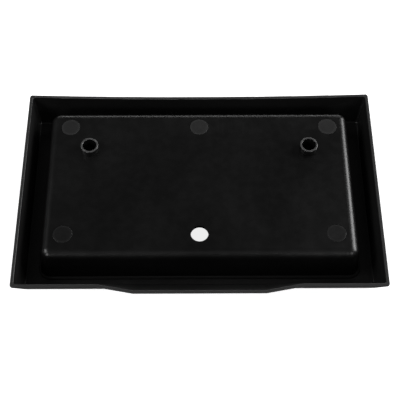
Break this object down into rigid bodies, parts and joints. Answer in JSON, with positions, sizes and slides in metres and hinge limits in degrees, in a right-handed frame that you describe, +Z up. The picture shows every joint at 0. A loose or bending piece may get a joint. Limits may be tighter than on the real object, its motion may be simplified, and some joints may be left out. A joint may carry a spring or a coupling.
{
  "type": "coin display tray",
  "caption": "Shallow rectangular tray with a raised deck, a gutter all round, a wide front lip, hollow posts and a through hole in the deck.",
  "frame": {"origin": "centre of the tray's outline, on the plane its feet stand on", "axes": "+X to the right along the long side, +Y to the back, +Z up; the lip is at -Y"},
  "size_m": [0.1894, 0.1228, 0.0282],
  "materials": {
    "pan_plastic": "black moulded plastic, satin walls and a fine matt floor",
    "deck_plastic": "black moulded plastic, fine spark-eroded texture",
    "post_plastic": "black moulded plastic, smooth with shiny rims",
    "plug_plastic": "black moulded plastic, a little smoother than the deck",
    "screw_steel": "zinc-plated steel",
    "foot_rubber": "black rubber, matt"
  },
  "bodies": {
    "root": {"tray_pan": "pan_plastic", "raised_deck": "deck_plastic", "left_post": "post_plastic", "right_post": "post_plastic", "plug_front_left": "plug_plastic", "plug_front_right": "plug_plastic", "plug_back_left": "plug_plastic", "plug_back_right": "plug_plastic", "plug_back_middle": "plug_plastic", "deck_screw_front_left": "screw_steel", "deck_screw_front_right": "screw_steel", "deck_screw_back_left": "screw_steel", "deck_screw_back_right": "screw_steel", "foot_front_left": "foot_rubber", "foot_front_right": "foot_rubber", "foot_back_left": "foot_rubber", "foot_back_right": "foot_rubber"}
  },
  "joints": []
}
